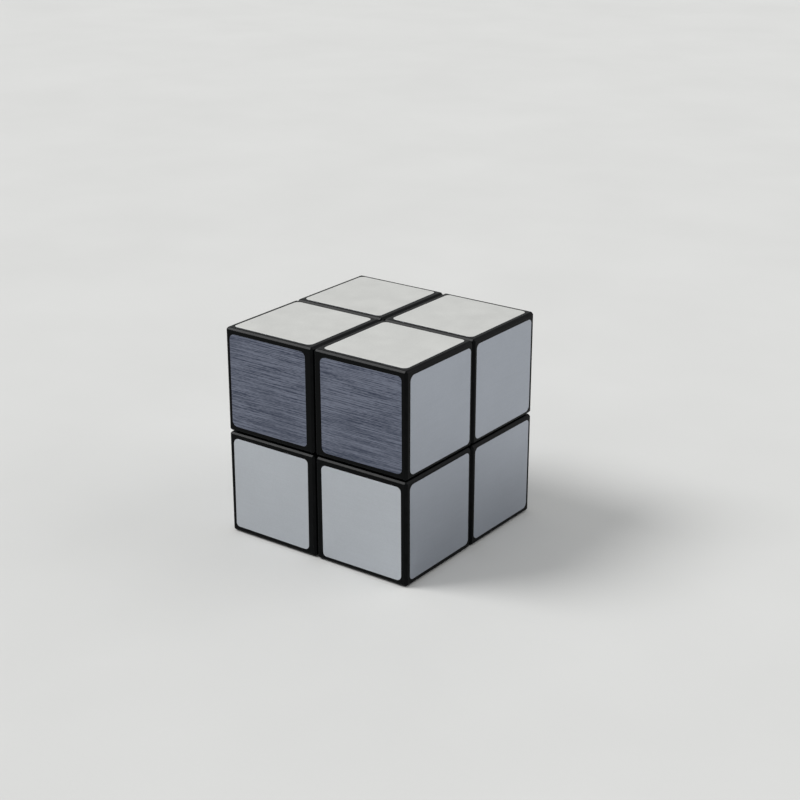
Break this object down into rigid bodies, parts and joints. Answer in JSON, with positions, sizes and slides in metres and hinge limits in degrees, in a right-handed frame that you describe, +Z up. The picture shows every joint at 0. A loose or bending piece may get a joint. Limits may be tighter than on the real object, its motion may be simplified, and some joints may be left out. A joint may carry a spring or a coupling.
{
  "type": "mirror block cube",
  "caption": "Hand-held turning puzzle: a cube of equal black blocks with silver foil stickers, whose layers turn about a sprung ball mechanism hidden inside.",
  "frame": {"origin": "turning centre of the mechanism, where the three planes between the layers cross, which is also the centre of the cube", "axes": "+X to the right, +Y to the back, +Z up, each along a turning axis"},
  "size_m": [0.05, 0.05, 0.05],
  "materials": {
    "block_plastic": "glossy black moulded plastic",
    "inner_plastic": "satin black moulded plastic, lubricated",
    "core_plastic": "ivory moulded plastic",
    "screw_steel": "zinc plated steel",
    "foil_bright": "bright satin silver foil",
    "foil_dark": "hairline brushed silver foil, reflecting dark",
    "foil_light": "satin silver foil",
    "foil_grey": "satin grey silver foil",
    "foil_silver": "satin silver foil"
  },
  "bodies": {
    "fixed_corner": {"core": "core_plastic", "screws": "screw_steel", "springs": "screw_steel", "hidden_edges_fixed": "inner_plastic", "centre_cap_down": "inner_plastic", "centre_cap_left": "inner_plastic", "centre_cap_back": "inner_plastic", "foot_down_left_back": "block_plastic", "block_down_left_back": "block_plastic", "sticker_left_down_back": "foil_silver", "sticker_back_down_left": "foil_silver", "sticker_bottom_left_back": "foil_silver"},
    "upper_layer": {"centre_cap_up": "inner_plastic", "hidden_edge_up_back": "inner_plastic", "hidden_edge_up_left": "inner_plastic", "foot_up_left_back": "block_plastic", "block_up_left_back": "block_plastic", "sticker_left_up_back": "foil_silver", "sticker_back_up_left": "foil_silver", "sticker_top_left_back": "foil_bright"},
    "right_layer": {"centre_cap_right": "inner_plastic", "hidden_edge_down_right": "inner_plastic", "hidden_edge_right_back": "inner_plastic", "foot_down_right_back": "block_plastic", "block_down_right_back": "block_plastic", "sticker_right_down_back": "foil_grey", "sticker_back_down_right": "foil_silver", "sticker_bottom_right_back": "foil_silver"},
    "front_layer": {"centre_cap_front": "inner_plastic", "hidden_edge_down_front": "inner_plastic", "hidden_edge_left_front": "inner_plastic", "foot_down_left_front": "block_plastic", "block_down_left_front": "block_plastic", "sticker_left_down_front": "foil_silver", "sticker_front_down_left": "foil_light", "sticker_bottom_left_front": "foil_silver"},
    "upper_front_pair": {"hidden_edge_up_front": "inner_plastic", "foot_up_left_front": "block_plastic", "block_up_left_front": "block_plastic", "sticker_left_up_front": "foil_silver", "sticker_front_up_left": "foil_dark", "sticker_top_left_front": "foil_bright"},
    "upper_right_pair": {"hidden_edge_up_right": "inner_plastic", "foot_up_right_back": "block_plastic", "block_up_right_back": "block_plastic", "sticker_right_up_back": "foil_grey", "sticker_back_up_right": "foil_silver", "sticker_top_right_back": "foil_bright"},
    "right_front_pair": {"hidden_edge_right_front": "inner_plastic", "foot_down_right_front": "block_plastic", "block_down_right_front": "block_plastic", "sticker_right_down_front": "foil_grey", "sticker_front_down_right": "foil_light", "sticker_bottom_right_front": "foil_silver"},
    "near_corner": {"foot_up_right_front": "block_plastic", "block_up_right_front": "block_plastic", "sticker_right_up_front": "foil_grey", "sticker_front_up_right": "foil_dark", "sticker_top_right_front": "foil_bright"}
  },
  "joints": [
    {"name": "upper_turn", "type": "hinge", "parent": "fixed_corner", "child": "upper_layer", "pos_m": [0, 0, 0], "axis": [0, 0, 1], "continuous": true},
    {"name": "right_turn", "type": "hinge", "parent": "fixed_corner", "child": "right_layer", "pos_m": [0, 0, 0], "axis": [1, 0, 0], "range_deg": [-360, 360]},
    {"name": "front_turn", "type": "hinge", "parent": "fixed_corner", "child": "front_layer", "pos_m": [0, 0, 0], "axis": [0, -1, 0], "range_deg": [-360, 360]},
    {"name": "right_turn_of_upper_pair", "type": "hinge", "parent": "upper_layer", "child": "upper_right_pair", "pos_m": [0, 0, 0], "axis": [1, 0, 0], "range_deg": [-360, 360]},
    {"name": "front_turn_of_upper_pair", "type": "hinge", "parent": "upper_layer", "child": "upper_front_pair", "pos_m": [0, 0, 0], "axis": [0, -1, 0], "range_deg": [-360, 360]},
    {"name": "front_turn_of_right_pair", "type": "hinge", "parent": "right_layer", "child": "right_front_pair", "pos_m": [0, 0, 0], "axis": [0, -1, 0], "range_deg": [-360, 360]},
    {"name": "front_turn_of_near_corner", "type": "hinge", "parent": "upper_right_pair", "child": "near_corner", "pos_m": [0, 0, 0], "axis": [0, -1, 0], "range_deg": [-360, 360]}
  ],
  "couplings": [
    {"joint": "right_turn_of_upper_pair", "follows": "right_turn", "ratio": 1},
    {"joint": "front_turn_of_upper_pair", "follows": "front_turn", "ratio": 1},
    {"joint": "front_turn_of_right_pair", "follows": "front_turn", "ratio": 1},
    {"joint": "front_turn_of_near_corner", "follows": "front_turn", "ratio": 1}
  ]
}
